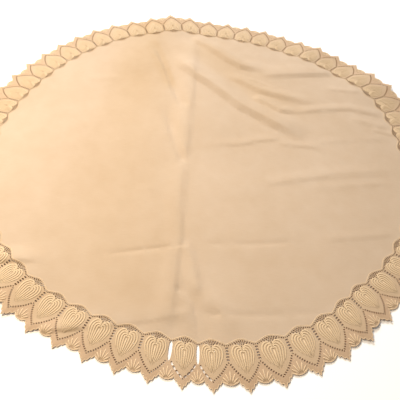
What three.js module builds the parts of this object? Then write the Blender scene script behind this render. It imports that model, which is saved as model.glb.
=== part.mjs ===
import * as THREE from "three";

// A round linen tablecloth with a cutwork border of hearts, spread out on a flat surface.
// Millimetres, +Z up, with the near side of the cloth towards -Y.
// The cloth is first drawn flat, as it was cut. Each of its points is then laid: moved to its place
// in the uneven outline, and raised on the folds, the storage creases and the cockled border.

// Flat cloth
const SHEET = 2;
const HEARTS = 60;
const POINT_RADIUS = 600;
const TIP_RADIUS = 583;
const FORK_RADIUS = 549;
const NOTCH_RADIUS = 511.5;
const CREST_RADIUS = 501.5;
const HEART_MIDDLE = 540;
const HEART_HALF_WIDTH = 24;
const HALF_CELL = Math.PI / HEARTS;

// Worked edge: picots down both sides of each point, then a smooth shell between two points
const PICOT_STEPS = 5;
const PICOT_DEPTH = 2.4;
const POINT_HALF_WIDTH = 16.5;
const SHELL_FOOT_RADIUS = 582;
const SHELL_RISE = 4.5;
const SHELL_STEPS = 1;

// Ladder of openings between two hearts
const LADDER_HOLES = 5;
const LADDER_TOP_RADIUS = 519;
const LADDER_PITCH = 5.6;
const LADDER_HOLE = { across: 4.6, along: 4.2 };

// Two ladders on the near side have come open: their bars are gone, and the border lies low there
const OPEN_LADDERS = [
  { atDegrees: 267, spread: 2 },
  { atDegrees: 273, spread: 2 },
];

// Cockled border: it stands off the surface between the ground and the edge, and the hearts swell
const ARCH = 3;
const ARCH_EDGE = 9;
const HEART_SWELL = { height: 0.8, from: 508, to: 580 };

// Storage creases: the cloth was folded in eighths, and the creases run across it at a slant
const GROUND_RADIUS = 488;
const CREASE_SLANT = 9.5 * THREE.MathUtils.DEG2RAD;
const CREASE_FIRST = 13;
const CREASE_PITCH = 151;
const CREASE_FOOT = 28;
const CREASES = [
  { step: -3, left: 3, right: 2 },
  { step: -2, left: 1.5, right: 1.5 },
  { step: -1, left: 1, right: 2 },
  { step: 0, left: 1, right: 1.5 },
  { step: 1, left: 1, right: 1 },
  { step: 2, left: 1.5, right: 1 },
];

// Centre fold, a ridge that runs from the near side to the far side
const CENTRE_FOLD = { x: -34, height: 4.5, leftFoot: 75, rightFoot: 40 };

// Soft folds of the far half, each along a bent line. The left foot is on the left when walking along it
const SOFT_FOLDS = [
  { line: [[-236, 570], [-222, 480], [-180, 270]], height: 3, leftFoot: 100, rightFoot: 90 },
  { line: [[-40, 475], [60, 393], [103, 361], [204, 352]], height: 7.5, leftFoot: 50, rightFoot: 34 },
  { line: [[-70, 342], [-24, 290], [104, 173], [274, 57]], height: 10, leftFoot: 60, rightFoot: 36 },
  { line: [[45, 316], [103, 286], [159, 247], [326, 202]], height: 6.5, leftFoot: 42, rightFoot: 34 },
  { line: [[127, 217], [208, 165], [262, 165]], height: 6, leftFoot: 36, rightFoot: 32 },
  { line: [[141, 322], [376, 352]], height: 5.5, leftFoot: 60, rightFoot: 34 },
];
const FOLD_FADE = 0.22;

// Net of the ground: its rows run along the creases, and it is closer on the far right
const FIRST_ROW = -468;
const LAST_ROW = 466;
const PLAIN_ROWS = [0, CREASE_FOOT, CREASE_PITCH / 2, CREASE_PITCH - CREASE_FOOT];
const FOLDED_ROWS = [0, 1, 2, 3, 4, 5].map((part) => (part * CREASE_PITCH) / 6);
const COLUMN_PITCH = 31;

// Ripples of the edge, where it lifts off the surface. Elsewhere the edge lies flat on it
const EDGE_RIPPLES = [
  { atDegrees: 33, height: 9, spread: 8 },
  { atDegrees: 54, height: 6, spread: 6 },
  { atDegrees: 102, height: 8, spread: 7 },
  { atDegrees: 230, height: 6, spread: 6 },
  { atDegrees: 308, height: 3.5, spread: 6 },
];
const RIPPLE_FOOT = 1;
const RIPPLE_INNER = { none: 400, full: 560 };

// Swells and hollows of the lying outline: the share of its radius that the cloth gains or loses
const OUTLINE_SWELLS = [
  { atDegrees: 26, share: 0.034, spread: 14 },
  { atDegrees: 61, share: -0.007, spread: 8 },
  { atDegrees: 82, share: -0.029, spread: 30 },
  { atDegrees: 101, share: 0.022, spread: 7 },
  { atDegrees: 116, share: 0.025, spread: 25 },
  { atDegrees: 159, share: -0.021, spread: 24 },
  { atDegrees: 228, share: 0.006, spread: 22 },
  { atDegrees: 247, share: -0.014, spread: 23 },
  { atDegrees: 288, share: 0.02, spread: 15.5 },
  { atDegrees: 312, share: -0.015, spread: 6.5 },
];
const SWELL_INNER = { none: 150, full: 510 };

// Hearts on the near side that the fold beside the open ladders has drawn round a little
const EDGE_TURNS = [
  { atDegrees: 276, turn: -0.75, spread: 4.5 },
  { atDegrees: 285, turn: -0.7, spread: 6 },
];

const LINEN = new THREE.MeshStandardMaterial({ color: 0xe6cba5, roughness: 0.9, metalness: 0 });

const { clamp, degToRad, euclideanModulo, lerp, radToDeg, smoothstep } = THREE.MathUtils;
const CENTRE = new THREE.Vector2();

function polar(radius, angle) {
  return new THREE.Vector2(radius * Math.cos(angle), radius * Math.sin(angle));
}

// Radius of the worked edge, without its picots, at a distance from the middle of a heart
function edgeRadius(across) {
  if (across < POINT_HALF_WIDTH) {
    return lerp(POINT_RADIUS, SHELL_FOOT_RADIUS, across / POINT_HALF_WIDTH);
  }
  const halfShell = TIP_RADIUS * HALF_CELL - POINT_HALF_WIDTH;
  const turn = (across - POINT_HALF_WIDTH) / halfShell;
  return SHELL_FOOT_RADIUS + SHELL_RISE * Math.sin((turn * Math.PI) / 2);
}

// Half of the worked edge, from the point of a heart to the middle of the shell beside it
function halfEdge() {
  const edge = [];
  for (let step = 0; step <= PICOT_STEPS; step += 1) {
    const across = (POINT_HALF_WIDTH * step) / PICOT_STEPS;
    const picot = step % 2 === 0 ? 0 : -PICOT_DEPTH;
    edge.push({ across, radius: edgeRadius(across) + picot });
  }
  const halfShell = TIP_RADIUS * HALF_CELL - POINT_HALF_WIDTH;
  for (let step = 1; step <= SHELL_STEPS; step += 1) {
    const across = POINT_HALF_WIDTH + (halfShell * step) / SHELL_STEPS;
    edge.push({ across, radius: edgeRadius(across) });
  }
  return edge;
}

// Soft hump in a direction: 1 in the middle of the row's spread, and nothing well away from it
function hump(row, angle) {
  const away = euclideanModulo(radToDeg(angle) - row.atDegrees + 180, 360) - 180;
  return Math.exp(-((away / row.spread) ** 2));
}

function outlineSwell(angle) {
  return OUTLINE_SWELLS.reduce((sum, swell) => sum + swell.share * hump(swell, angle), 0);
}

function edgeTurn(angle) {
  return degToRad(EDGE_TURNS.reduce((sum, row) => sum + row.turn * hump(row, angle), 0));
}

function rippleHeight(angle) {
  const lift = EDGE_RIPPLES.reduce((sum, ripple) => sum + ripple.height * hump(ripple, angle), 0);
  return Math.max(0, lift - RIPPLE_FOOT);
}

// Height of a straight ridge with a rounded crest
function ridge(distance, foot) {
  const share = Math.min(Math.abs(distance) / foot, 1);
  return (1 - share * share) ** 2;
}

function creaseHeight(x, y) {
  const along = x * Math.cos(CREASE_SLANT) + y * Math.sin(CREASE_SLANT);
  const across = y * Math.cos(CREASE_SLANT) - x * Math.sin(CREASE_SLANT);
  let height = 0;
  for (const crease of CREASES) {
    const distance = across - CREASE_FIRST - crease.step * CREASE_PITCH;
    const share = smoothstep(along, -GROUND_RADIUS / 2, GROUND_RADIUS / 2);
    height += lerp(crease.left, crease.right, share) * ridge(distance, CREASE_FOOT);
  }
  return height;
}

function centreFoldHeight(x) {
  const away = x - CENTRE_FOLD.x;
  const foot = away < 0 ? CENTRE_FOLD.leftFoot : CENTRE_FOLD.rightFoot;
  return CENTRE_FOLD.height * ridge(away, foot);
}

// Height of a soft fold at a place: most on its line, with soft ends and feet
function softFoldHeight(fold, place) {
  const line = fold.line.map(([x, y]) => new THREE.Vector2(x, y));
  const whole = line.slice(1).reduce((sum, end, index) => sum + end.distanceTo(line[index]), 0);
  const nearest = { distance: Infinity };
  let walked = 0;
  for (let index = 1; index < line.length; index += 1) {
    const run = line[index].clone().sub(line[index - 1]);
    const away = place.clone().sub(line[index - 1]);
    const share = clamp(away.dot(run) / run.lengthSq(), 0, 1);
    const distance = away.distanceTo(run.clone().multiplyScalar(share));
    if (distance < nearest.distance) {
      const foot = run.cross(away) > 0 ? fold.leftFoot : fold.rightFoot;
      Object.assign(nearest, { distance, foot, along: (walked + share * run.length()) / whole });
    }
    walked += run.length();
  }
  const ends = smoothstep(nearest.along, 0, FOLD_FADE) * smoothstep(1 - nearest.along, 0, FOLD_FADE);
  return fold.height * ends * ridge(nearest.distance, nearest.foot);
}

function foldHeight(flat) {
  return Math.max(centreFoldHeight(flat.x), ...SOFT_FOLDS.map((fold) => softFoldHeight(fold, flat)));
}

// Height of the border: flat between the ground and the edge, with each heart a little fuller
function borderHeight(radius, angle) {
  const cell = euclideanModulo(angle + HALF_CELL, 2 * HALF_CELL) - HALF_CELL;
  const across = Math.abs(cell) * TIP_RADIUS;
  const fromEdge = edgeRadius(across) - radius;
  const outer = smoothstep(fromEdge, 0, ARCH_EDGE);
  const inner = smoothstep(radius, GROUND_RADIUS, CREST_RADIUS);
  const open = Math.max(...OPEN_LADDERS.map((ladder) => hump(ladder, angle)));
  const along = clamp((radius - HEART_SWELL.from) / (HEART_SWELL.to - HEART_SWELL.from), 0, 1);
  const full = Math.max(0, 1 - (across / HEART_HALF_WIDTH) ** 2);
  return ARCH * outer * inner * (1 - open) + HEART_SWELL.height * Math.sin(along * Math.PI) * full;
}

// Where a point of the flat cloth lies
function lay(flat) {
  const radius = flat.length();
  const angle = Math.atan2(flat.y, flat.x);
  const pulled = smoothstep(radius, SWELL_INNER.none, SWELL_INNER.full);
  const stretch = 1 + outlineSwell(angle) * pulled;
  const onGround = 1 - smoothstep(radius, GROUND_RADIUS, CREST_RADIUS);
  const folds = (creaseHeight(flat.x, flat.y) + foldHeight(flat)) * onGround;
  const ripples = rippleHeight(angle) * smoothstep(radius, RIPPLE_INNER.none, RIPPLE_INNER.full);
  const height = folds + ripples + borderHeight(radius, angle);
  const place = flat.clone().rotateAround(CENTRE, edgeTurn(angle) * pulled).multiplyScalar(stretch);
  return new THREE.Vector3(place.x, place.y, height);
}

// The flat cloth as triangles that share their corners
class FlatCloth {
  constructor() {
    this.corners = [];
    this.numbers = new Map();
    this.triangles = [];
  }

  number(corner) {
    const key = `${corner.x.toFixed(3)} ${corner.y.toFixed(3)}`;
    if (!this.numbers.has(key)) {
      this.numbers.set(key, this.corners.length);
      this.corners.push(corner);
    }
    return this.numbers.get(key);
  }

  // Two rows that start or end in the same corner give a triangle with no area there, which is left out
  triangle(a, b, c) {
    const turn = (b.x - a.x) * (c.y - a.y) - (b.y - a.y) * (c.x - a.x);
    const ordered = turn > 0 ? [a, b, c] : [a, c, b];
    if (turn !== 0) {
      this.triangles.push(ordered.map((corner) => this.number(corner)));
    }
  }

  panel(outline) {
    for (const [a, b, c] of THREE.ShapeUtils.triangulateShape(outline, [])) {
      this.triangle(outline[a], outline[b], outline[c]);
    }
  }

  // Triangles between two rows of corners that run side by side
  strip(near, far) {
    let n = 0;
    let f = 0;
    while (n + 1 < near.length || f + 1 < far.length) {
      const farDone = f + 1 === far.length;
      const nearDone = n + 1 === near.length;
      if (farDone || (!nearDone && near[n + 1].distanceTo(far[f]) < near[n].distanceTo(far[f + 1]))) {
        this.triangle(near[n], near[n + 1], far[f]);
        n += 1;
      } else {
        this.triangle(near[n], far[f + 1], far[f]);
        f += 1;
      }
    }
  }
}

// One cell of the border, from the middle of a heart to the middle of the next one
function addCell(cloth, cell) {
  const left = cell * 2 * HALF_CELL;
  const middle = left + HALF_CELL;
  const right = ((cell + 1) % HEARTS) * 2 * HALF_CELL;
  const fork = polar(FORK_RADIUS, middle);
  const notch = polar(NOTCH_RADIUS, middle);

  // Two half hearts, and the bars of the ladder between them
  const midline = [CREST_RADIUS, HEART_MIDDLE, TIP_RADIUS];
  const leftBank = [notch, ...ladderBank(middle, -1), fork];
  const rightBank = [notch, ...ladderBank(middle, 1), fork];
  cloth.strip(midline.map((radius) => polar(radius, left)), leftBank);
  cloth.strip(rightBank, midline.map((radius) => polar(radius, right)));
  const isOpen = OPEN_LADDERS.some((ladder) => hump(ladder, middle) > 0.9);
  for (let bar = 0; bar <= LADDER_HOLES; bar += isOpen ? LADDER_HOLES : 1) {
    cloth.strip(leftBank.slice(2 * bar, 2 * bar + 2), rightBank.slice(2 * bar, 2 * bar + 2));
  }

  // The worked edge, outside the lines that run from the fork to the tips of both hearts
  const rising = halfEdge().map((place) => polar(place.radius, left + place.across / TIP_RADIUS));
  const falling = halfEdge().map((place) => polar(place.radius, right - place.across / TIP_RADIUS));
  const edge = rising.concat(falling.toReversed().slice(1));
  cloth.panel([polar(TIP_RADIUS, left), ...edge, polar(TIP_RADIUS, right), fork]);
}

// Corners of the ladder's openings on one side of it, from the notch outwards
function ladderBank(middle, side) {
  const corners = [];
  for (let hole = 0; hole < LADDER_HOLES; hole += 1) {
    const radius = LADDER_TOP_RADIUS + hole * LADDER_PITCH;
    const angle = middle + (side * LADDER_HOLE.across) / 2 / radius;
    corners.push(polar(radius - LADDER_HOLE.along / 2, angle), polar(radius + LADDER_HOLE.along / 2, angle));
  }
  return corners;
}

// The plain ground: rows of corners, closer where the soft folds lie, and a collar that joins the ends of
// the rows to the scalloped line of the border
function addGround(cloth) {
  const rows = [plainRow(FIRST_ROW)];
  for (const crease of CREASES) {
    const first = CREASE_FIRST + crease.step * CREASE_PITCH;
    if (crease.step < 0) {
      rows.push(...PLAIN_ROWS.map((away) => plainRow(first + away)));
    } else {
      rows.push(...FOLDED_ROWS.map((away) => foldedRow(first + away)));
    }
  }
  rows.push(foldedRow(LAST_ROW));
  for (let row = 1; row < rows.length; row += 1) {
    cloth.strip(rows[row - 1], rows[row]);
  }

  const rim = [
    ...rows[0],
    ...rows.slice(1).map((row) => row.at(-1)),
    ...rows.at(-1).toReversed().slice(1),
    ...rows.toReversed().slice(1).map((row) => row[0]),
  ];
  const first = Math.round(rim[0].angle() / HALF_CELL);
  const scallops = [];
  for (let step = 0; step <= 2 * HEARTS; step += 1) {
    const place = (first + step) % (2 * HEARTS);
    scallops.push(polar(place % 2 === 0 ? CREST_RADIUS : NOTCH_RADIUS, place * HALF_CELL));
  }
  cloth.strip(rim, scallops);
}

// Where a row of the ground ends, and where it meets the centre fold
function rowPlaces(across) {
  const end = Math.sqrt(GROUND_RADIUS ** 2 - across ** 2);
  const slant = Math.cos(CREASE_SLANT);
  const fold = CENTRE_FOLD.x / slant + across * Math.tan(CREASE_SLANT);
  const leftFoot = fold - Math.min(CENTRE_FOLD.leftFoot / slant, (fold + end) / 2);
  const rightFoot = fold + Math.min(CENTRE_FOLD.rightFoot / slant, (end - fold) / 2);
  return { end, fold, leftFoot, rightFoot };
}

function slanted(across, places) {
  return places.map((along) => new THREE.Vector2(along, across).rotateAround(CENTRE, CREASE_SLANT));
}

function plainRow(across) {
  const { end, fold, leftFoot, rightFoot } = rowPlaces(across);
  return slanted(across, [-end, (leftFoot - end) / 2, leftFoot, fold, rightFoot, (rightFoot + end) / 2, end]);
}

function foldedRow(across) {
  const { end, fold, leftFoot } = rowPlaces(across);
  const places = [-end, (leftFoot - end) / 2, leftFoot];
  const columns = Math.round((end - fold) / COLUMN_PITCH);
  for (let column = 0; column <= columns; column += 1) {
    places.push(lerp(fold, end, column / columns));
  }
  return slanted(across, places);
}

// The laid cloth as a closed sheet: an upper face, a lower face, and walls round the edge and the holes
function sheetGeometry(cloth) {
  const lower = cloth.corners.map(lay);
  const box = new THREE.Box3().setFromPoints(lower);
  const middle = box.getCenter(new THREE.Vector3()).setZ(box.min.z);
  lower.forEach((point) => point.sub(middle));
  const upper = lower.map((point) => point.clone().setZ(point.z + SHEET));
  const count = lower.length;

  const sides = new Set();
  const faces = [];
  for (const [a, b, c] of cloth.triangles) {
    faces.push(count + a, count + b, count + c, a, c, b);
    sides.add(`${a} ${b}`).add(`${b} ${c}`).add(`${c} ${a}`);
  }
  for (const side of sides) {
    const [a, b] = side.split(" ").map(Number);
    if (!sides.has(`${b} ${a}`)) {
      faces.push(a, b, count + b, a, count + b, count + a);
    }
  }
  const geometry = new THREE.BufferGeometry().setFromPoints([...lower, ...upper]);
  geometry.setIndex(faces);
  geometry.computeVertexNormals();
  return geometry;
}

const flatCloth = new FlatCloth();
for (let cell = 0; cell < HEARTS; cell += 1) {
  addCell(flatCloth, cell);
}
addGround(flatCloth);

const tablecloth = new THREE.Group();
const cloth = new THREE.Mesh(sheetGeometry(flatCloth), LINEN);
cloth.name = "cloth";
tablecloth.add(cloth);

export default tablecloth;
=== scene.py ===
# A round linen tablecloth with a cutwork border of hearts, spread out on a pale floor.
# Sizes are in millimetres, and MM turns them into Blender's metres.
# The cloth is modelled flat, as it was cut and worked. Every point is then laid: moved to its place in
# the uneven outline, and raised on the folds, the storage creases and the cockled border.
import math

import bmesh
import bpy
from mathutils import Matrix, Vector, noise


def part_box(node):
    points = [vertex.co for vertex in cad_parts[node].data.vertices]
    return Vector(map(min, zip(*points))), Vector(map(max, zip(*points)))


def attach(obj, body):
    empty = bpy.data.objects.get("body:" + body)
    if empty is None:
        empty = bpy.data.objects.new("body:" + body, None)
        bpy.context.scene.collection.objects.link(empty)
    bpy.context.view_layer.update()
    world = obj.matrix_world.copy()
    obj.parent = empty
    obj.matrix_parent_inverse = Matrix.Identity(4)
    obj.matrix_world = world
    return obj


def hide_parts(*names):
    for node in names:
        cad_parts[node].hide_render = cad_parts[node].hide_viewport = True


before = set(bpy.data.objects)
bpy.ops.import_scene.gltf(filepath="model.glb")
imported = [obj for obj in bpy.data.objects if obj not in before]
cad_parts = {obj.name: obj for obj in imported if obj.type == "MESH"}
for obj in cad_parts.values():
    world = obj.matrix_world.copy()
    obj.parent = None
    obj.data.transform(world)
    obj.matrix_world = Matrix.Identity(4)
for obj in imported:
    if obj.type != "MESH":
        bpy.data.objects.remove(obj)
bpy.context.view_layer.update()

MM = 0.001

# Flat cloth, round, with one cell of the border for each heart. Across is a distance from the middle of a
# heart, measured at the radius of the heart tips.
HEARTS = 60
HALF_CELL = math.pi / HEARTS
POINT_RADIUS = 600
TIP_RADIUS = 583
NOTCH_RADIUS = 511.5
CREST_RADIUS = 501.5
HALF_WIDTH = TIP_RADIUS * HALF_CELL
HEART_HALF_WIDTH = 24
CLOTH_THICKNESS = 1.7
CLOTH_TOP = 2.0

# Worked edge: picots down both sides of each point, then a smooth shell between two points
POINT_HALF_WIDTH = 16.5
PICOT_PITCH = 6.6
PICOT_DEPTH = 3.8
SHELL_FOOT_RADIUS = 582
SHELL_RISE = 4.5
PICOT_POINTS = 15
SHELL_POINTS = 4

# Openings: the ladder between two hearts, the rows round each heart and the lattice over its cleft. The
# holes of the row down to a heart's tip are stretched across the row.
LADDER_HOLES = 5
LADDER_TOP_RADIUS = 519
LADDER_PITCH = 5.6
LADDER_HOLE_ACROSS = 5.4
LADDER_HOLE_ALONG = 3.0
LADDER_CORNER = 0.8
FORK_HOLE = {"radius": 547.0, "size": 1.55}
NOTCH_HOLE = {"radius": 514.2, "size": 1.25}
TIP_HOLE = {"radius": 582.0, "size": 1.55}
CLEFT_HOLE = {"radius": 516.4, "size": 1.6}
V_ROW = {"holes": 9, "from": (27.0, 550.4), "to": (2.9, 579.0), "bow": 1.3, "size": 1.25, "stretch": 0.9}
SCALLOP_ROW = {"places": (18.2, 22.5, 26.5), "below": 4.1, "size": 1.65}
LATTICE_ROWS = [
    {"places": (0, 4.6, 9.2, 13.8), "below": 4.1, "size": 1.75},
    {"places": (2.3, 6.9, 11.5), "below": 7.3, "size": 1.75},
    {"places": (0, 4.7), "below": 10.6, "size": 1.75},
]
HOLE_SIDES = 6

# Two ladders on the near side have come open: their bars are gone, and the border lies low there. In the
# rows of holes that fork from them, on the sides given, every second bar is gone too.
OPEN_LADDERS = [{"at": 267, "spread": 3, "wear_and_shade": (-1,)}, {"at": 273, "spread": 3, "wear_and_shade": (-1, 1)}]
WORN_HOLE = 1.98
OPEN_SLIT = [(0, 513), (2.2, 514.6), (3.4, 519), (3.8, 530), (3.4, 541), (2.4, 548), (1, 552), (0, 553)]

# Cockled border: an arch between the ground and the edge, and a low swell of each heart. A pair gives where
# the arch begins and where it is full.
ARCH = 1.4
ARCH_EDGE = (0, 9)
ARCH_INNER = (400, 505)
HEART_SWELL = {"height": 0.8, "from": 508, "to": 580}

# Folds and creases, each with its own line over the cloth, height and feet. The left foot is the one on
# the left when walking along the line. A foot given as a pair changes from one end to the other.
# A height below nothing is a trough. The ends are the shares of the line over which it rises and falls.
# A fold with a face is flat on its right side, and the others are round.
CENTRE_RUN = [(-39, 480), (-37, 326), (-34, 211), (-37, 107), (-35, 13), (-38, -66)]
FOLDS = [
    # Centre fold, from the far side to the near side, in two runs, with a broad swell under the first
    {"line": CENTRE_RUN, "height": 2.6, "left": 13, "right": (60, 34), "ends": (0.12, 0.12)},
    {"line": CENTRE_RUN, "height": 5.2, "left": 170, "right": (80, 40), "ends": (0.12, 0.3)},
    {"line": [(-38, -40), (-38, -183), (-31, -276), (-34, -328), (-35, -393), (-36, -467), (-36, -508)],
     "height": 2.8, "left": 13, "right": 38, "ends": (0.1, 0.12)},
    # Troughs of two slack wedges at the left of the centre fold, steep on the side away from it
    {"line": [(-182, 446), (-144, 400), (-120, 341), (-96, 274), (-77, 210), (-60, 169), (-44, 140)],
     "height": -4.2, "left": (56, 20), "right": 14, "ends": (0.25, 0.1)},
    {"line": [(-115, 184), (-91, 115), (-73, 49), (-56, -5), (-36, -59)],
     "height": -3.2, "left": (30, 14), "right": 14, "ends": (0.5, 0.1)},
    # Low swell at the far left
    {"line": [(-236, 570), (-222, 480), (-205, 380), (-180, 270)], "height": 3, "left": 100, "right": 90},
    # Crumples beside the centre fold on the near side
    {"line": [(-20, -285), (0, -333), (10, -379), (22, -419)],
     "height": 2.8, "left": 16, "right": 24, "ends": (0.12, 0.2)},
    {"line": [(20, -408), (52, -425), (70, -442), (80, -476), (87, -502)],
     "height": 1.8, "left": 40, "right": 18, "ends": (0.25, 0.45)},
    {"line": [(-32, -396), (-8, -412), (10, -428), (22, -452), (30, -484), (35, -512)],
     "height": -2.6, "left": 30, "right": 11, "ends": (0.12, 0.2)},
    {"line": [(8, -449), (37, -449), (52, -452), (72, -444)], "height": -0.9, "left": 12, "right": 9},
    {"line": [(-34, -464), (-16, -458), (8, -450)], "height": 1.2, "left": 14, "right": 34},
    # Folds that run from the far end of the centre fold towards the right, steep on their near sides
    {"line": [(-55, 488), (-31, 468), (5, 444), (60, 393), (103, 361), (160, 351), (204, 352)],
     "height": 7.2, "left": 50, "right": 22, "ends": (0.12, 0.35), "face": True},
    {"line": [(-97, 384), (-61, 329), (-24, 290), (13, 262), (63, 214), (104, 173), (156, 138), (194, 109),
              (231, 85), (274, 57)],
     "height": 9.8, "left": 60, "right": 24, "ends": (0.2, 0.2), "face": True},
    {"line": [(45, 316), (103, 286), (159, 247), (212, 230), (264, 213), (326, 202)],
     "height": 5.4, "left": 34, "right": 19, "ends": (0.25, 0.35), "face": True},
    {"line": [(127, 217), (171, 192), (208, 165), (262, 165)],
     "height": 5.6, "left": 30, "right": 16, "ends": (0.2, 0.35), "face": True},
    {"line": [(225, 162), (256, 165), (321, 181), (387, 189), (440, 178), (492, 167)],
     "height": 2.8, "left": 26, "right": 13},
    {"line": [(141, 322), (194, 327), (273, 338), (376, 352)],
     "height": 4.6, "left": 60, "right": 20, "ends": (0.3, 0.15), "face": True},
    {"line": [(116, 304), (159, 281), (207, 257)], "height": 2, "left": 14, "right": 9},
    {"line": [(386, 153), (437, 134), (482, 120)], "height": 2, "left": 20, "right": 12},
    {"line": [(436, 115), (500, 98)], "height": 1.6, "left": 14, "right": 10},
    {"line": [(336, 271), (432, 258)], "height": 1.6, "left": 20, "right": 10},
    # Storage creases: the cloth was folded in eighths, and the creases cross it at a slant
    {"line": [(-325, 240), (-227, 261)], "height": 0.8, "left": 20, "right": 9},
    {"line": [(-9, 7), (95, 22), (149, 44), (204, 54)],
     "height": 1.7, "left": 26, "right": 9, "ends": (0.5, 0.1)},
    {"line": [(190, 40), (232, 33), (283, 34), (310, 20)], "height": 1.7, "left": 20, "right": 10},
    {"line": [(269, 44), (379, 67), (497, 86)], "height": 0.8, "left": 20, "right": 9},
    {"line": [(-147, -152), (-90, -143)], "height": 0.6, "left": 9, "right": 8},
    {"line": [(131, -111), (202, -94), (325, -60), (491, -33)], "height": 1.6, "left": 32, "right": 10},
    {"line": [(240, -119), (320, -99), (485, -67)], "height": 0.8, "left": 14, "right": 12},
    {"line": [(-243, -352), (-164, -331), (-97, -315), (-3, -294)],
     "height": -1.4, "left": 8, "right": 8, "ends": (0.6, 0.06)},
    {"line": [(8, -290), (127, -279), (246, -267)], "height": -1, "left": 9, "right": 9},
    {"line": [(270, -260), (370, -241), (454, -224)], "height": 1, "left": 20, "right": 9},
    {"line": [(-260, -512), (-189, -501), (-139, -492), (-71, -476), (-21, -461), (9, -452)],
     "height": 1.4, "left": 60, "right": 9, "ends": (0.22, 0.1)},
    {"line": [(15, -450), (91, -444), (182, -435), (274, -428)], "height": -0.9, "left": 10, "right": 10},
    # Fold that runs in from the left edge, and a tuck across the border
    {"line": [(-480, -362), (-389, -362), (-358, -360), (-280, -356)],
     "height": 4.4, "left": 40, "right": 13, "ends": (0.1, 0.4)},
    {"line": [(-330, -519), (-280, -514), (-250, -511), (-225, -508), (-190, -500)],
     "height": 2.8, "left": 24, "right": 9},
]

# Ends of a fold whose row gives none, how far in from the edge the folds die out, the bent share of a face
# at its crest and at its foot, and the slant of the storage creases
FOLD_ENDS = (0.22, 0.22)
FOLD_EDGE = (0, 24)
FACE_BEND = 0.2
CREASE_SLANT = math.radians(9.5)

# Where the cloth is painted darker and yellower, partly yellowing and partly painted shade on the flanks of
# folds, laid out as the folds are, with a share for the height: the panel on the left of the centre fold,
# most at its far end, the far folds, and a strip beside the first wedge
YELLOWED_AND_SHADED = [
    {"line": [(-178, 560), (-183, 323), (-178, 0), (-165, -250), (-160, -490)],
     "height": 0.42, "left": (115, 230), "right": (115, 250), "ends": (0.03, 0.06)},
    {"line": [(-178, 560), (-183, 323), (-184, 168), (-180, -60)],
     "height": 0.4, "left": 110, "right": 120, "ends": (0.03, 0.6)},
    {"line": [(-60, 520), (40, 370), (130, 250), (260, 110)], "height": 0.6, "left": 110, "right": 90},
    {"line": [(-165, 460), (-138, 395), (-114, 330), (-94, 270), (-76, 212)],
     "height": 0.9, "left": 14, "right": 42},
]
# Tint that the share multiplies in: yellowing and painted shade
YELLOW_AND_SHADE = "#f9f3e6"

# Ripples of the edge, and swells and hollows of the lying outline, by direction in degrees. A ripple's tail
# that is lower than its foot lies flat. A pair gives the radii where they begin and where they are full.
EDGE_RIPPLES = [
    {"at": 33, "height": 9, "spread": 8},
    {"at": 54, "height": 6, "spread": 6},
    {"at": 102, "height": 8, "spread": 7},
    {"at": 230, "height": 6, "spread": 6},
    {"at": 308, "height": 3.5, "spread": 6},
]
RIPPLE_FOOT = 1
RIPPLE_INNER = (400, 560)
OUTLINE_SWELLS = [
    {"at": 26, "share": 0.034, "spread": 14},
    {"at": 61, "share": -0.007, "spread": 8},
    {"at": 82, "share": -0.029, "spread": 30},
    {"at": 101, "share": 0.022, "spread": 7},
    {"at": 116, "share": 0.025, "spread": 25},
    {"at": 159, "share": -0.021, "spread": 24},
    {"at": 228, "share": 0.006, "spread": 22},
    {"at": 247, "share": -0.014, "spread": 23},
    {"at": 288, "share": 0.02, "spread": 15.5},
    {"at": 312, "share": -0.015, "spread": 6.5},
]
SWELL_INNER = (150, 510)

# Hearts on the near side that the fold beside the open ladders has drawn round a little, in degrees
EDGE_TURNS = [{"at": 276, "turn": -0.75, "spread": 4.5}, {"at": 285, "turn": -0.7, "spread": 6}]

# Slack of the ground: low waves that a cloth keeps when it isn't ironed
SLACK_WAVE = 95
SLACK_HEIGHT = 0.7
SLACK_LEAST = 2.2
SLACK_OUTER = (400, 505)

# Mesh: where the ground's net meets the border, its cell and its gap there, how far an edge may stray from a
# fold, and the sizes of the border's triangles
GROUND_EDGE = 486
GROUND_CELL = 10
GROUND_GAP = 6
FOLD_FLATNESS = 0.2
FOLD_PASSES = 3
RIM_STEPS = 5
LONGEST_EDGE = 11
SIDE_STEP = 5.5
REFINE_PASSES = 3
WELD = 0.01

# Raised stitching: the veins of a heart, nested, then the petals of a shell, and the cords of the edge.
# A vein has a half width, the radius of its top, the dip from there to the heart's middle line, and an end.
VEINS = [
    {"half": 21.6, "top": 514.0, "dip": 5.6, "end": 555},
    {"half": 16.2, "top": 518.2, "dip": 4.2, "end": 560.5},
    {"half": 10.8, "top": 522.4, "dip": 2.8, "end": 565},
    {"half": 5.4, "top": 526.6, "dip": 1.4, "end": 567},
]
MIDDLE_VEIN = (531, 542, 553, 564)
VEIN_CROWN = 0.45
VEIN_SHOULDER = 0.75
VEIN_BOW = 1.45
VEIN_MEET_RADIUS = 577
VEIN_RISE_POINTS = 4
VEIN_CAP_POINTS = 5
VEIN_SIDE_POINTS = 6
VEIN_RADIUS = 2.0
VEIN_ENDS = (0.6, 0.12)
PETAL_TURNS = (-66, -44, -22, 0, 22, 44, 66)
PETAL_FOOT_RADIUS = 587
PETAL_START = 4.5
PETAL_LENGTH = 25
PETAL_SHORT = 9.5
PETAL_POINTS = 5
PETAL_RADIUS = 1.6
PETAL_ENDS = (0.4, 0.4)
SCALLOP_CORD_POINTS = 13
CORD_RADIUS = 0.9
CORD_ENDS = (1, 1)
STITCH_FLATNESS = 0.42
STITCH_TAPER = 3

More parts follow.
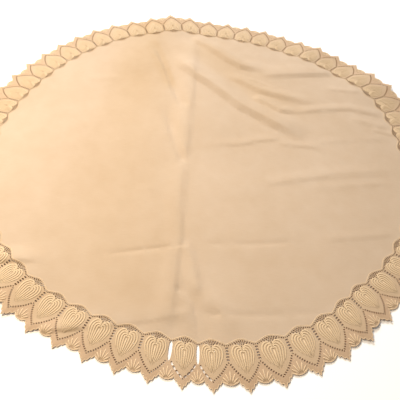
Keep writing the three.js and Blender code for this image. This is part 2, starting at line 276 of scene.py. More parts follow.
# Patterns of the linen and of its threads, by their sizes on the cloth, and how much each one changes the
# tone. The wave pattern draws about pi bands for each unit of its scale.
THREAD_PITCH = 1.5
WAVE_BANDS = math.pi
SLUB_LENGTH = 18
STAIN_SIZE = 190
BLOTCH_SIZE = 34
TONE_LEAST = 0.12
SLUB_TONE = 0.25
STAIN_TONE = 0.45
BLOTCH_TONE = 0.3
LINEN_TONES = (0.38, 0.82)
SLUB_RELIEF = 0.8
WEAVE_DEPTH = 0.25
OVERCAST_STRAND = 0.8
SATIN_STRAND = 0.7
SATIN_TONES = (0.3, 0.7)
SATIN_DEPTH = 0.2
# Painted shade on the stitches' sides: full where a face turns up less than the first, none above the second
GROOVE_FACING = (0.25, 0.85)

# Finishes of the cloth, in the order of its materials
GROUND_FINISH, HEART_FINISH, SHELL_FINISH, EDGE_FINISH = range(4)

# Floor and light: the sky's, a window on the far side, and a warm lamp at the left
FLOOR_HALF_SIZE = 6000
SKY = {"tint": "#fff2e2", "strength": 0.365}
LAMPS = [
    {"name": "far_window", "place": (-600, 3200, 2100), "aim": (0, 0, 0), "size": 1200, "power": 180,
     "tint": "#fffdfb", "spread": 180},
    {"name": "left_lamp", "place": (-1200, 0, 1600), "aim": (-500, -150, 0), "size": 900, "power": 17,
     "tint": "#ffe9c8", "spread": 110},
]

# Camera, from the photograph's perspective: lens, tilt and roll, and its place over the near edge
IMAGE_PIXELS = 400
FOCAL_PIXELS = 520.6
SENSOR = 36
CAMERA_HEIGHT = 906
CAMERA_BACK = 934.7
CAMERA_RIGHT = 9.5
CAMERA_DOWN = math.radians(49.64)
CAMERA_ROLL = math.radians(4.32)
CAMERA_TURN = math.radians(-0.38)


def mix(a, b, share):
    """Value at a share of the way from a to b."""
    return a + (b - a) * share


def smooth(value, low, high):
    """From 0 at the low value to 1 at the high one, level at both."""
    share = min(max((value - low) / (high - low), 0), 1)
    return share * share * (3 - 2 * share)


def ridge(distance, foot):
    """Height of a round ridge, level at its crest and at its foot."""
    share = min(abs(distance) / foot, 1)
    return (1 - share * share) ** 2


def flat_face(distance, foot):
    """Height of a flat face, with a short bend at its crest and another at its foot."""
    share = min(abs(distance) / foot, 1)
    bend = 2 * FACE_BEND * (1 - FACE_BEND)
    if share < FACE_BEND:
        return 1 - share ** 2 / bend
    if share > 1 - FACE_BEND:
        return (1 - share) ** 2 / bend
    return (1 - FACE_BEND / 2 - share) / (1 - FACE_BEND)


def hump(row, angle):
    """How much of a row's swell there is in a direction: all of it at its own, less over its spread."""
    away = (math.degrees(angle) - row["at"] + 180) % 360 - 180
    return math.exp(-((away / row["spread"]) ** 2))


def edge_radius(across):
    """Radius of the worked edge, without its picots, at a distance from the middle of a heart."""
    if across < POINT_HALF_WIDTH:
        return mix(POINT_RADIUS, SHELL_FOOT_RADIUS, across / POINT_HALF_WIDTH)
    turn = (across - POINT_HALF_WIDTH) / (HALF_WIDTH - POINT_HALF_WIDTH)
    return SHELL_FOOT_RADIUS + SHELL_RISE * math.sin(turn * math.pi / 2)


def scallop_radius(across):
    """Radius of the scalloped line between the ground and the border."""
    share = abs(across) / HALF_WIDTH
    wave = (1 - math.cos(share * math.pi)) / 2
    return mix(CREST_RADIUS, NOTCH_RADIUS, (wave + share * share) / 2)


def v_row_radius(across):
    """Radius of the row of holes from the ladder to the tip of a heart, without its bow."""
    start, end = V_ROW["from"], V_ROW["to"]
    return mix(start[1], end[1], (across - start[0]) / (end[0] - start[0]))


def fold_reach(fold):
    """Box round a fold's line and its feet."""
    foot = max(max(side) if isinstance(side, tuple) else side for side in (fold["left"], fold["right"]))
    xs = [place[0] for place in fold["line"]]
    ys = [place[1] for place in fold["line"]]
    return min(xs) - foot, max(xs) + foot, min(ys) - foot, max(ys) + foot


def foot_at(side, share):
    """Foot of a fold at a share of its line."""
    return mix(*side, share) if isinstance(side, tuple) else side


def one_fold_height(fold, place):
    """Height of a fold at a place: most on its line, with soft ends and feet."""
    lengths = [math.dist(a, b) for a, b in zip(fold["line"], fold["line"][1:])]
    whole = sum(lengths)
    nearest, along, side = math.inf, 0, 0
    walked = 0
    for start, end, length in zip(fold["line"], fold["line"][1:], lengths):
        run = Vector(end) - Vector(start)
        away = place - Vector(start)
        share = min(max(away.dot(run) / length ** 2, 0), 1)
        distance = (away - run * share).length
        if distance < nearest:
            nearest, along, side = distance, (walked + share * length) / whole, run.cross(away)
        walked += length
    foot = foot_at(fold["left"] if side > 0 else fold["right"], along)
    profile = flat_face if side <= 0 and fold.get("face") else ridge
    rise, fall = fold.get("ends", FOLD_ENDS)
    ends = smooth(along, 0, rise) * smooth(1 - along, 0, fall)
    return fold["height"] * ends * profile(nearest, foot)


def rows_height(rows, x, y):
    """Height of several folds at a place, each given with the box that it reaches."""
    height = 0
    for fold, (left, right, low, high) in rows:
        if left < x < right and low < y < high:
            height += one_fold_height(fold, Vector((x, y)))
    return height


def border_height(radius, angle):
    """Arch of the border between the ground and the edge, with each heart a little fuller."""
    cell = (angle + HALF_CELL) % (2 * HALF_CELL) - HALF_CELL
    across = abs(cell) * TIP_RADIUS
    outer = smooth(edge_radius(across) - radius, *ARCH_EDGE)
    inner = smooth(radius, *ARCH_INNER)
    shut = 1 - max(hump(ladder, angle) for ladder in OPEN_LADDERS)
    along = (radius - HEART_SWELL["from"]) / (HEART_SWELL["to"] - HEART_SWELL["from"])
    swell = math.sin(min(max(along, 0), 1) * math.pi) * max(0, 1 - (across / HEART_HALF_WIDTH) ** 2)
    return ARCH * outer * inner * shut + HEART_SWELL["height"] * swell


def slack_height(x, y):
    """Height of the low waves of the ground."""
    wave = noise.noise(Vector((x / SLACK_WAVE, y / SLACK_WAVE, 0)))
    return SLACK_HEIGHT * (1 + wave) + SLACK_LEAST


def lay(flat):
    """Where a point of the flat cloth lies. A height over the flat cloth is kept."""
    radius = math.hypot(flat.x, flat.y)
    angle = math.atan2(flat.y, flat.x)
    pulled = smooth(radius, *SWELL_INNER)
    swell = sum(row["share"] * hump(row, angle) for row in OUTLINE_SWELLS)
    turn = sum(row["turn"] * hump(row, angle) for row in EDGE_TURNS)
    reach = radius * (1 + swell * pulled)
    heading = angle + math.radians(turn) * pulled
    on_ground = 1 - smooth(radius, *SLACK_OUTER)
    height = CLOTH_TOP + flat.z
    if on_ground > 0:
        height += slack_height(flat.x, flat.y) * on_ground
    height += rows_height(FOLD_REACH, flat.x, flat.y) * smooth(POINT_RADIUS - radius, *FOLD_EDGE)
    if radius > RIPPLE_INNER[0]:
        ripple = sum(row["height"] * hump(row, angle) for row in EDGE_RIPPLES)
        height += max(0, ripple - RIPPLE_FOOT) * smooth(radius, *RIPPLE_INNER) + border_height(radius, angle)
    height = max(height, CLOTH_THICKNESS + flat.z)
    return Vector((reach * math.cos(heading), reach * math.sin(heading), height))


def polar(across, radius):
    """Place on the flat cloth of a point of the cell whose heart lies on +X."""
    angle = across / TIP_RADIUS
    return Vector((radius * math.cos(angle), radius * math.sin(angle), 0))


def picot_edge():
    """Half of the worked edge of a cell, from the point of its heart to the middle of a shell."""
    places = []
    for step in range(PICOT_POINTS + 1):
        across = POINT_HALF_WIDTH * step / PICOT_POINTS
        scallop = 1 - abs(math.cos(math.pi * across / PICOT_PITCH))
        places.append((across, edge_radius(across) - PICOT_DEPTH * scallop))
    for step in range(1, SHELL_POINTS + 1):
        across = mix(POINT_HALF_WIDTH, HALF_WIDTH, step / SHELL_POINTS)
        places.append((across, edge_radius(across)))
    return places


def half_hole(side, radius, size):
    """Round hole on the line where two half cells meet, seen from one of them, towards larger radius."""
    places = []
    for step in range(HOLE_SIDES // 2 + 1):
        turn = math.pi * step / (HOLE_SIDES // 2)
        inward = size * math.sin(turn) * (1 if side == 0 else -1)
        places.append((side + inward, radius - size * math.cos(turn)))
    return places


def half_ladder_hole(radius):
    """Opening of the ladder, half of it, towards larger radius."""
    reach = LADDER_HOLE_ACROSS / 2 * TIP_RADIUS / radius
    along = LADDER_HOLE_ALONG / 2
    outline = [(0, -along), (reach - LADDER_CORNER, -along), (reach, LADDER_CORNER - along)]
    outline += [(reach, along - LADDER_CORNER), (reach - LADDER_CORNER, along), (0, along)]
    return [(HALF_WIDTH - across, radius + away) for across, away in outline]


def straight(side, start, end):
    """Points up a line between two half cells, close enough for the cloth to bend there."""
    steps = max(1, math.ceil(abs(end - start) / SIDE_STEP))
    return [(side, mix(start, end, step / steps)) for step in range(steps + 1)]


def cell_side(side, holes, end):
    """Line between two half cells with its half holes, from the ground outwards."""
    places = [(side, GROUND_EDGE)]
    for hole in holes:
        places += straight(side, places[-1][1], hole[0][1])[1:] + hole[1:]
    return places + straight(side, places[-1][1], end)[1:]


def cell_outline(is_open):
    """Outline of half a cell: up the middle of a heart, along the edge, and back down the ladder."""
    middle = [half_hole(0, scallop_radius(0) + row["below"], row["size"])
              for row in LATTICE_ROWS if row["places"][0] == 0]
    middle += [half_hole(0, hole["radius"], hole["size"]) for hole in (CLEFT_HOLE, TIP_HOLE)]
    if is_open:
        ladder = [[(HALF_WIDTH - across, radius) for across, radius in OPEN_SLIT]]
    else:
        ladder = [half_hole(HALF_WIDTH, NOTCH_HOLE["radius"], NOTCH_HOLE["size"])]
        for hole in range(LADDER_HOLES):
            ladder.append(half_ladder_hole(LADDER_TOP_RADIUS + hole * LADDER_PITCH))
        ladder.append(half_hole(HALF_WIDTH, FORK_HOLE["radius"], FORK_HOLE["size"]))
    edge = picot_edge()
    outline = cell_side(0, middle, edge[0][1]) + edge[1:]
    outline += cell_side(HALF_WIDTH, ladder, edge[-1][1])[-2::-1]
    for step in range(1, RIM_STEPS):
        outline.append((mix(HALF_WIDTH, 0, step / RIM_STEPS), GROUND_EDGE))
    return outline


def v_row_places():
    """Middles of the row of holes that runs, a little bowed, from the ladder to the tip of a heart."""
    places = []
    for hole in range(V_ROW["holes"]):
        share = hole / (V_ROW["holes"] - 1)
        bow = V_ROW["bow"] * math.sin(share * math.pi)
        across = mix(V_ROW["from"][0], V_ROW["to"][0], share) + bow
        places.append((across, mix(V_ROW["from"][1], V_ROW["to"][1], share) + bow))
    return places


def slot(start, end, size):
    """Outline of an opening round two places, which may be one place: then it is a round hole."""
    heading = math.atan2(end[1] - start[1], end[0] - start[0])
    outline = []
    for middle, turn in ((end, heading), (start, heading + math.pi)):
        for side in range(HOLE_SIDES // 2 + 1):
            spoke = turn - math.pi / 2 + math.pi * side / (HOLE_SIDES // 2)
            outline.append((middle[0] + size * math.cos(spoke), middle[1] + size * math.sin(spoke)))
    if start == end:
        # The two halves of a round hole share their end corners
        outline = outline[:HOLE_SIDES // 2] + outline[HOLE_SIDES // 2 + 1:-1]
    return outline


def cell_holes(is_open, is_worn):
    """Outlines of the whole holes of half a cell. An open ladder has taken the first one of the row."""
    places = [Vector(place) for place in v_row_places()[1 if is_open else 0:]]
    if is_worn:
        holes = [slot(start, end, WORN_HOLE) for start, end in zip(places[::2], places[1::2])]
    else:
        run = Vector(V_ROW["to"]) - Vector(V_ROW["from"])
        stretch = run.orthogonal().normalized() * V_ROW["stretch"]
        holes = [slot(place - stretch, place + stretch, V_ROW["size"]) for place in places]
    for row in [SCALLOP_ROW, *LATTICE_ROWS]:
        for across in row["places"]:
            if across > 0:
                middle = (across, scallop_radius(across) + row["below"])
                holes.append(slot(middle, middle, row["size"]))
    return holes


def add_loop(bm, places):
    """A closed outline on the flat cell."""
    corners = [bm.verts.new((across, radius, 0)) for across, radius in places]
    for corner, following in zip(corners, corners[1:] + corners[:1]):
        bm.edges.new((corner, following))


def refine(bm):
    """Split the long inner edges, so that the hearts can swell."""
    for _ in range(REFINE_PASSES):
        long_edges = [e for e in bm.edges if not e.is_boundary and e.calc_length() > LONGEST_EDGE]
        bmesh.ops.subdivide_edges(bm, edges=long_edges, cuts=1)
        bmesh.ops.triangulate(bm, faces=bm.faces[:])
        inner = [e for e in bm.edges if not e.is_boundary]
        bmesh.ops.beautify_fill(bm, faces=bm.faces[:], edges=inner)


def repeat_round(bm):
    """The cell, sixty times round the cloth."""
    turn = 2 * HALF_CELL * (HEARTS - 1)
    everything = bm.verts[:] + bm.edges[:] + bm.faces[:]
    bmesh.ops.spin(bm, geom=everything, cent=(0, 0, 0), axis=(0, 0, 1), dvec=(0, 0, 0),
                   angle=turn, steps=HEARTS - 1, use_duplicate=True)
    bmesh.ops.remove_doubles(bm, verts=bm.verts[:], dist=WELD)


def half_cell(is_open, is_worn):
    """Half a cell of the border, flat: distance from the heart's middle along X, radius along Y."""
    bm = bmesh.new()
    add_loop(bm, cell_outline(is_open))
    for outline in cell_holes(is_open, is_worn):
        add_loop(bm, outline)
    bmesh.ops.triangle_fill(bm, use_beauty=True, use_dissolve=False, edges=bm.edges[:])
    refine(bm)
    mesh = bpy.data.meshes.new("half_cell")
    bm.to_mesh(mesh)
    bm.free()
    return mesh


def cutwork_border():
    """The flat border with all its openings: two half cells for each heart."""
    halves = {kind: half_cell(*kind) for kind in ((False, False), (True, False), (True, True))}
    bm = bmesh.new()
    for heart in range(HEARTS):
        for side in (-1, 1):
            ladder = (2 * heart + side) * HALF_CELL
            opened = [row for row in OPEN_LADDERS if row["at"] == round(math.degrees(ladder))]
            wear_and_shade = [row for row in opened if side in row["wear_and_shade"]]
            placed = len(bm.verts)
            bm.from_mesh(halves[bool(opened), bool(wear_and_shade)])
            bm.verts.ensure_lookup_table()
            turn = Matrix.Rotation(2 * heart * HALF_CELL, 3, "Z")
            for corner in bm.verts[placed:]:
                corner.co = turn @ polar(side * corner.co.x, corner.co.y)
    for mesh in halves.values():
        bpy.data.meshes.remove(mesh)
    bmesh.ops.remove_doubles(bm, verts=bm.verts[:], dist=WELD)
    return bm


def add_ground(bm):
    """The plain ground, a net whose rows follow the storage creases, joined to the border's inner rim."""
    rim = [e for e in bm.edges
           if e.is_boundary and all(abs(v.co.length - GROUND_EDGE) < WELD for v in e.verts)]
    span = 2 * GROUND_EDGE * (1 + math.tan(CREASE_SLANT))
    count = round(span / GROUND_CELL)
    made = bmesh.ops.create_grid(bm, x_segments=count, y_segments=count, size=span / 2)
    for corner in made["verts"]:
        corner.co.y += corner.co.x * math.tan(CREASE_SLANT)
    outside = [v for v in made["verts"] if v.co.length > GROUND_EDGE - GROUND_GAP]
    bmesh.ops.delete(bm, geom=outside, context="VERTS")
    net = [v for v in made["verts"] if v.is_valid]
    net_rim = {e for v in net for e in v.link_edges if e.is_boundary}
    bmesh.ops.triangle_fill(bm, use_beauty=True, use_dissolve=False, edges=rim + list(net_rim))


def follow_folds(bm):
    """Split the edges that a fold bends away from, so that the mesh keeps to every fold."""
    for _ in range(FOLD_PASSES):
        heights = {corner: rows_height(FOLD_REACH, corner.co.x, corner.co.y) for corner in bm.verts}
        bent = []
        for edge in bm.edges:
            middle = (edge.verts[0].co + edge.verts[1].co) / 2
            ends = (heights[edge.verts[0]] + heights[edge.verts[1]]) / 2
            stray = abs(rows_height(FOLD_REACH, middle.x, middle.y) - ends)
            if stray > FOLD_FLATNESS and not edge.is_boundary:
                bent.append(edge)
        bmesh.ops.subdivide_edges(bm, edges=bent, cuts=1)
        bmesh.ops.triangulate(bm, faces=[face for face in bm.faces if len(face.verts) > 3])
        bmesh.ops.beautify_fill(bm, faces=bm.faces[:], edges=[e for e in bm.edges if not e.is_boundary])


def cell_place(place):
    """Distance from the middle of the nearest heart, and radius, of a place on the flat cloth."""
    angle = math.atan2(place.y, place.x)
    cell = (angle + HALF_CELL) % (2 * HALF_CELL) - HALF_CELL
    return abs(cell) * TIP_RADIUS, math.hypot(place.x, place.y)


def is_outermost(corner):
    """Whether a corner is on the worked edge, and not on a hole."""
    across, radius = cell_place(corner.co)
    return corner.is_boundary and radius > edge_radius(across) - PICOT_DEPTH - WELD


def finish_index(face):
    """Which finish a face of the flat cloth has. A face at the worked edge has a side of its own there."""
    across, radius = cell_place(face.calc_center_median())
    if radius < scallop_radius(across):
        return GROUND_FINISH
    if sum(is_outermost(corner) for corner in face.verts) > 1:
        return EDGE_FINISH
    return SHELL_FINISH if radius > v_row_radius(across) else HEART_FINISH


def laid_object(name, bm, offset, materials):
    """Lay a flat mesh and make an object of it, at the place that the frame gives the cloth."""
    for corner in bm.verts:
        corner.co = (lay(corner.co) - offset) * MM
    for face in bm.faces:
        face.smooth = True
    mesh = bpy.data.meshes.new(name)
    bm.to_mesh(mesh)
    bm.free()
    for material in materials:
        mesh.materials.append(material)
    piece = bpy.data.objects.new(name, mesh)
    bpy.context.scene.collection.objects.link(piece)
    return piece


def cloth_offset():
    """How far the middle of the lying outline is from the middle of the round that it was cut as."""
    low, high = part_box("cloth")
    laid = []
    for cell in range(HEARTS):
        turn = Matrix.Rotation(cell * 2 * HALF_CELL, 3, "Z")
        for across, radius in picot_edge():
            laid += [lay(turn @ polar(across, radius)), lay(turn @ polar(-across, radius))]
    middle = Vector()
    for axis in range(2):
        places = [place[axis] for place in laid]
        middle[axis] = (min(places) + max(places)) / 2 - (low[axis] + high[axis]) / 2 / MM
    return middle


def vein_path(vein, side):
    """One satin-stitched vein: up from the heart's middle line, over a lobe, and down towards the tip."""
    crown = VEIN_CROWN * vein["half"]
    shoulder = vein["top"] + VEIN_SHOULDER * vein["half"]
    path = []
    for step in range(VEIN_RISE_POINTS):
        away = 1 - step / VEIN_RISE_POINTS
        path.append((crown * (1 - away), vein["top"] + vein["dip"] * away ** VEIN_BOW))
    for step in range(VEIN_CAP_POINTS):
        turn = math.pi / 2 * step / VEIN_CAP_POINTS
        across = mix(crown, vein["half"], math.sin(turn))
        path.append((across, shoulder - (shoulder - vein["top"]) * math.cos(turn)))
    for step in range(VEIN_SIDE_POINTS):
        radius = mix(shoulder, vein["end"], step / (VEIN_SIDE_POINTS - 1))
        narrow = 1 - ((radius - shoulder) / (VEIN_MEET_RADIUS - shoulder)) ** VEIN_BOW
        path.append((vein["half"] * narrow, radius))
    return [(side * across, radius) for across, radius in path]


def petal_path(turn_degrees):
    """One petal of the palmette between two hearts, from the middle of the shell inwards."""
    turn = math.radians(turn_degrees)
    length = PETAL_LENGTH - PETAL_SHORT * (abs(turn_degrees) / PETAL_TURNS[-1])
    path = []
    for step in range(PETAL_POINTS):
        reach = mix(PETAL_START, length, step / (PETAL_POINTS - 1))
        path.append((HALF_WIDTH + reach * math.sin(turn), PETAL_FOOT_RADIUS - reach * math.cos(turn)))
    return path


def stitched(paths, radius, ends, closed_round=False):
    """Raised stitching along paths of one cell, as tubes, then repeated round the cloth.
    ends gives how thick a tube is at its first and at its last point, as shares of its middle."""
    curve = bpy.data.curves.new("stitch_path", "CURVE")
    curve.dimensions = "3D"
    curve.bevel_depth = radius
    curve.bevel_resolution = 1
    curve.use_fill_caps = not closed_round
    for path in paths:
        spline = curve.splines.new("POLY")
        spline.points.add(len(path) - 1)
        for step, (across, away) in enumerate(path):
            share = step / (len(path) - 1)
            spline.points[step].co = (*polar(across, away), 1)
            end = ends[0] if share < 0.5 else ends[1]
            spline.points[step].radius = mix(1, end, abs(2 * share - 1) ** STITCH_TAPER)
    holder = bpy.data.objects.new("stitch_path", curve)
    bpy.context.scene.collection.objects.link(holder)
    bpy.context.view_layer.update()
    mesh = bpy.data.meshes.new_from_object(holder.evaluated_get(bpy.context.evaluated_depsgraph_get()))
    bm = bmesh.new()
    bm.from_mesh(mesh)
    bpy.data.objects.remove(holder)
    bpy.data.curves.remove(curve)
    bpy.data.meshes.remove(mesh)
    for corner in bm.verts:
        corner.co.z *= STITCH_FLATNESS
    repeat_round(bm)
    bmesh.ops.recalc_face_normals(bm, faces=bm.faces[:])
    return bm


def joined(parts):
    """Several flat meshes as one."""
    whole = bmesh.new()
    for part in parts:
        mesh = bpy.data.meshes.new("part")
        part.to_mesh(mesh)
        part.free()
        whole.from_mesh(mesh)
        bpy.data.meshes.remove(mesh)
    return whole


def colour(hex_value):
    """Linear colour of an sRGB hex value."""
    channels = [int(hex_value[place:place + 2], 16) / 255 for place in (1, 3, 5)]
    return [c / 12.92 if c <= 0.04045 else ((c + 0.055) / 1.055) ** 2.4 for c in channels] + [1]


def add_node(tree, kind, settings=None, **inputs):
    """One node, with its settings and with values or links for its inputs."""
    node = tree.nodes.new(kind)
    for name, value in (settings or {}).items():
        setattr(node, name, value)
    for name, value in inputs.items():
        socket = node.inputs[int(name[1:])] if name[1:].isdigit() else node.inputs[name.replace("_", " ")]
        if isinstance(value, bpy.types.NodeSocket):
            tree.links.new(value, socket)
        else:
            socket.default_value = value
    return node


def start_material(name, **finish):
    """A material whose shader has the settings given, by their names."""
    material = bpy.data.materials.new(name)
    material.use_nodes = True
    shader = material.node_tree.nodes["Principled BSDF"]
    for setting, value in finish.items():
        shader.inputs[setting.replace("_", " ")].default_value = value
    return material, material.node_tree, shader


def woven_linen(name, pale, dark, relief_strength, light_through):
    """Plain-woven linen, matt and a little uneven: the eye sees slubs, age and the lie of the threads, and
    painted shade along some folds.
    Real threads are about 0.5 mm apart, too fine to show, so the weave is drawn three times as coarse."""
    material, tree, shader = start_material(name, Roughness=0.92, Specular_IOR_Level=0.15,
                                            Sheen_Weight=0.15, Sheen_Roughness=0.5)
    place = add_node(tree, "ShaderNodeTexCoord").outputs["Object"]

    band_scale = 1 / (WAVE_BANDS * THREAD_PITCH * MM)
    warp, weft = [add_node(tree, "ShaderNodeTexWave", {"bands_direction": way, "wave_profile": "SIN"},
                           Vector=place, Scale=band_scale, Distortion=0.6, Detail=1.0)
                  for way in ("X", "Y")]
    weave = add_node(tree, "ShaderNodeMath", {"operation": "MULTIPLY"},
                     _0=warp.outputs["Fac"], _1=weft.outputs["Fac"])

    slub_place = add_node(tree, "ShaderNodeMapping", None, Vector=place,
                          Scale=(1 / (SLUB_LENGTH * MM), 1 / (THREAD_PITCH * MM), 1))
    slubs = add_node(tree, "ShaderNodeTexNoise", None, Vector=slub_place.outputs[0], Scale=1.0, Detail=2.0)
    stains = add_node(tree, "ShaderNodeTexNoise", None, Vector=place, Scale=1 / (STAIN_SIZE * MM), Detail=3.0)
    blotches = add_node(tree, "ShaderNodeTexNoise", None, Vector=place, Scale=1 / (BLOTCH_SIZE * MM),
                        Detail=4.0)

    tone = TONE_LEAST
    for pattern, change in ((slubs, SLUB_TONE), (stains, STAIN_TONE), (blotches, BLOTCH_TONE)):
        tone = add_node(tree, "ShaderNodeMath", {"operation": "MULTIPLY_ADD"},
                        _0=pattern.outputs["Fac"], _1=change, _2=tone).outputs[0]
    ramp = add_node(tree, "ShaderNodeValToRGB", None, Fac=tone)
    for stop, position, tint in zip(ramp.color_ramp.elements, LINEN_TONES, (dark, pale)):
        stop.position = position
        stop.color = colour(tint)
    # Painted shade and yellowing: each corner's share multiplies the linen towards a darker, yellower tint
    yellowing_and_shade = add_node(tree, "ShaderNodeAttribute", {"attribute_name": "yellowing_and_shade"})
    aged_and_shaded = add_node(tree, "ShaderNodeMix", {"data_type": "RGBA", "blend_type": "MULTIPLY"},
                    Factor=yellowing_and_shade.outputs["Fac"], _6=ramp.outputs["Color"], _7=colour(YELLOW_AND_SHADE))
    tree.links.new(aged_and_shaded.outputs[2], shader.inputs["Base Color"])
    through = add_node(tree, "ShaderNodeBsdfTranslucent", None, Color=aged_and_shaded.outputs[2])
    both = add_node(tree, "ShaderNodeMixShader", None, Fac=light_through, _1=shader.outputs[0],
                    _2=through.outputs[0])
    tree.links.new(both.outputs[0], tree.nodes["Material Output"].inputs["Surface"])

    relief = add_node(tree, "ShaderNodeMath", {"operation": "MULTIPLY_ADD"},
                      _0=slubs.outputs["Fac"], _1=SLUB_RELIEF, _2=weave.outputs[0])
    bump = add_node(tree, "ShaderNodeBump", None, Height=relief.outputs[0], Strength=relief_strength,
                    Distance=WEAVE_DEPTH * MM)
    tree.links.new(bump.outputs["Normal"], shader.inputs["Normal"])
    return material


def cut_edge(name):
    """Cut and overcast thread ends inside the openings: rough, always in shade, and painted dark brown as
    that shade.
    """
    material, tree, shader = start_material(name, Roughness=1.0)
    place = add_node(tree, "ShaderNodeTexCoord").outputs["Object"]
    strands = add_node(tree, "ShaderNodeTexNoise", None, Vector=place, Scale=1 / (OVERCAST_STRAND * MM),
                       Detail=2.0)
    ramp = add_node(tree, "ShaderNodeValToRGB", None, Fac=strands.outputs["Fac"])
    # Dark browns: painted shade inside the openings
    for stop, tint in zip(ramp.color_ramp.elements, ("#6e4219", "#a87236")):
        stop.color = colour(tint)
    tree.links.new(ramp.outputs["Color"], shader.inputs["Base Color"])
    return material


def satin_thread(name, pale, dark, groove_shade):
    """Padded satin stitch in mercerised cotton: fine strands laid side by side, with a soft gloss, and
    grey-brown painted shade on the steep sides, where two rolls meet."""
    material, tree, shader = start_material(name, Roughness=0.8, Specular_IOR_Level=0.12, Sheen_Weight=0.05)
    place = add_node(tree, "ShaderNodeTexCoord").outputs["Object"]
    strands = add_node(tree, "ShaderNodeTexNoise", None, Vector=place, Scale=1 / (SATIN_STRAND * MM),
                       Detail=3.0)
    ramp = add_node(tree, "ShaderNodeValToRGB", None, Fac=strands.outputs["Fac"])
    for stop, position, tint in zip(ramp.color_ramp.elements, SATIN_TONES, (dark, pale)):
        stop.position = position
        stop.color = colour(tint)
    # Painted shade: the stitch turns grey-brown where its face turns away from the top
    facing = add_node(tree, "ShaderNodeSeparateXYZ", None,
                      Vector=add_node(tree, "ShaderNodeNewGeometry").outputs["Normal"])
    top = add_node(tree, "ShaderNodeMapRange", {"interpolation_type": "SMOOTHSTEP"},
                   Value=facing.outputs["Z"], From_Min=GROOVE_FACING[0], From_Max=GROOVE_FACING[1])
    wear_and_shade = add_node(tree, "ShaderNodeMix", {"data_type": "RGBA"}, Factor=top.outputs["Result"],
                    _6=colour(groove_shade), _7=ramp.outputs["Color"])
    tree.links.new(wear_and_shade.outputs[2], shader.inputs["Base Color"])
    bump = add_node(tree, "ShaderNodeBump", None, Height=strands.outputs["Fac"], Strength=0.5,
                    Distance=SATIN_DEPTH * MM)
    tree.links.new(bump.outputs["Normal"], shader.inputs["Normal"])
    return material


def make_cloth(offset):
    """The whole cloth, cut and laid, with its face, the ends inside the openings, and its wrong side."""
    bm = cutwork_border()
    add_ground(bm)
    follow_folds(bm)
    for face in bm.faces:
        face.normal_update()
        if face.normal.z < 0:
            face.normal_flip()
        face.material_index = finish_index(face)
    for edge in bm.edges:
        edge.smooth = not edge.is_boundary
    # Each corner's share of painted shade and yellowing, from the bands
    yellowing_and_shade = bm.verts.layers.float.new("yellowing_and_shade")
    for corner in bm.verts:
        corner[yellowing_and_shade] = min(1, rows_height(YELLOWED_AND_SHADED_REACH, corner.co.x, corner.co.y))
    linen = woven_linen("plain_woven_linen", "#dac9b6", "#ceb9a0", relief_strength=0.5, light_through=0.3)
    worked = woven_linen("worked_linen", "#d9c4a9", "#cbb294", relief_strength=0.4, light_through=0.3)
    shells = woven_linen("worked_linen_edge", "#d7bfa5", "#c7ac8e", relief_strength=0.4, light_through=0.3)
    wrong_side = woven_linen("linen_wrong_side", "#dac9b6", "#ceb9a0", relief_strength=0.5,
                             light_through=0.85)
    # The walls of the openings get painted shade, dark brown; the worked edge's own wall is plain linen
    ends = cut_edge("thread_ends_painted_shade")
    finishes = [linen, worked, shells, shells]
    rims = [ends, ends, ends, shells]
    cloth = laid_object("cloth_sheet", bm, offset, finishes + rims + [wrong_side])
    solid = cloth.modifiers.new("thickness", "SOLIDIFY")
    solid.thickness = CLOTH_THICKNESS * MM
    solid.offset = -1
    solid.material_offset_rim = len(finishes)
    solid.material_offset = len(finishes + rims)
    return cloth


def make_veins(offset):
    """The veins of all the hearts."""
    paths = [vein_path(vein, side) for vein in VEINS for side in (-1, 1)]
    paths.append([(0, radius) for radius in MIDDLE_VEIN])
    # The last tint is painted shade on the stitches' steep sides
    thread = satin_thread("padded_satin_stitch", "#cfbca1", "#c3ad8f", "#b79f7e")
    return laid_object("heart_veins", stitched(paths, VEIN_RADIUS, VEIN_ENDS), offset, [thread])


def make_edging(offset):
    """The petals of all the shells, the cord along the scalloped line, and the cord of the worked edge."""
    edge = picot_edge()
    round_edge = [(-across, radius) for across, radius in reversed(edge)] + edge[1:]
    scallop = []
    for step in range(SCALLOP_CORD_POINTS):
        across = mix(-HALF_WIDTH, HALF_WIDTH, step / (SCALLOP_CORD_POINTS - 1))
        scallop.append((across, scallop_radius(across)))
    cords = [stitched([petal_path(turn) for turn in PETAL_TURNS], PETAL_RADIUS, PETAL_ENDS)]
    for path in (scallop, round_edge):
        cords.append(stitched([path], CORD_RADIUS, CORD_ENDS, closed_round=True))
    # The last tint is painted shade on the stitches' steep sides
    thread = satin_thread("buttonhole_edge_stitch", "#d3bfa5", "#c7b093", "#bfa584")
    return laid_object("edge_stitching", joined(cords), offset, [thread])


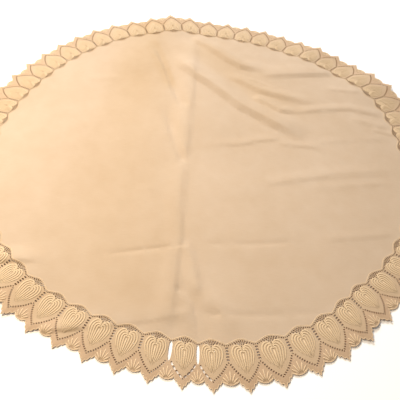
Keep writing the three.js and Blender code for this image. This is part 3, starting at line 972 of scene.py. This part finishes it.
def make_floor():
    """A floor painted nearly white: matt, without any gloss."""
    bm = bmesh.new()
    bmesh.ops.create_grid(bm, x_segments=1, y_segments=1, size=FLOOR_HALF_SIZE * MM)
    mesh = bpy.data.meshes.new("floor")
    bm.to_mesh(mesh)
    bm.free()
    paint, _, _ = start_material("pale_floor", Base_Color=colour("#f8faff"), Roughness=1.0,
                                 Specular_IOR_Level=0.0)
    mesh.materials.append(paint)
    floor = bpy.data.objects.new("floor", mesh)
    bpy.context.scene.collection.objects.link(floor)
    return floor


def add_lamp(row):
    """A square of light at its place, turned towards what it is aimed at."""
    lamp = bpy.data.lights.new(row["name"], "AREA")
    lamp.size = row["size"] * MM
    lamp.spread = math.radians(row["spread"])
    lamp.energy = row["power"]
    lamp.color = colour(row["tint"])[:3]
    light = bpy.data.objects.new(row["name"], lamp)
    light.location = Vector(row["place"]) * MM
    way = Vector(row["aim"]) - Vector(row["place"])
    light.rotation_euler = way.to_track_quat("-Z", "Y").to_euler()
    bpy.context.scene.collection.objects.link(light)


def add_studio():
    """The sky's light, the lamps, and plain colours."""
    world = bpy.data.worlds.new("studio")
    world.use_nodes = True
    sky = world.node_tree.nodes["Background"]
    sky.inputs["Color"].default_value = colour(SKY["tint"])
    sky.inputs["Strength"].default_value = SKY["strength"]
    bpy.context.scene.world = world
    for row in LAMPS:
        add_lamp(row)
    bpy.context.scene.view_settings.view_transform = "Standard"


def add_camera(offset):
    """The camera, at its place over the flat round, moved with the cloth."""
    camera = bpy.data.cameras.new("camera")
    camera.sensor_width = SENSOR
    camera.lens = FOCAL_PIXELS / IMAGE_PIXELS * SENSOR
    holder = bpy.data.objects.new("camera", camera)
    stand = Matrix.Translation((CAMERA_RIGHT * MM, -CAMERA_BACK * MM, CAMERA_HEIGHT * MM))
    tilt = Matrix.Rotation(math.pi / 2 - CAMERA_DOWN, 4, "X") @ Matrix.Rotation(CAMERA_ROLL, 4, "Z")
    turned = Matrix.Rotation(CAMERA_TURN, 4, "Z") @ stand @ tilt
    holder.matrix_world = Matrix.Translation(-offset * MM) @ turned
    bpy.context.scene.collection.objects.link(holder)
    bpy.context.scene.camera = holder


FOLD_REACH = [(fold, fold_reach(fold)) for fold in FOLDS]
YELLOWED_AND_SHADED_REACH = [(band, fold_reach(band)) for band in YELLOWED_AND_SHADED]
offset = cloth_offset()
floor = make_floor()
cloth = make_cloth(offset)
veins = make_veins(offset)
edging = make_edging(offset)
for piece in (cloth, veins, edging):
    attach(piece, "root")
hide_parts("cloth")
add_studio()
add_camera(offset)
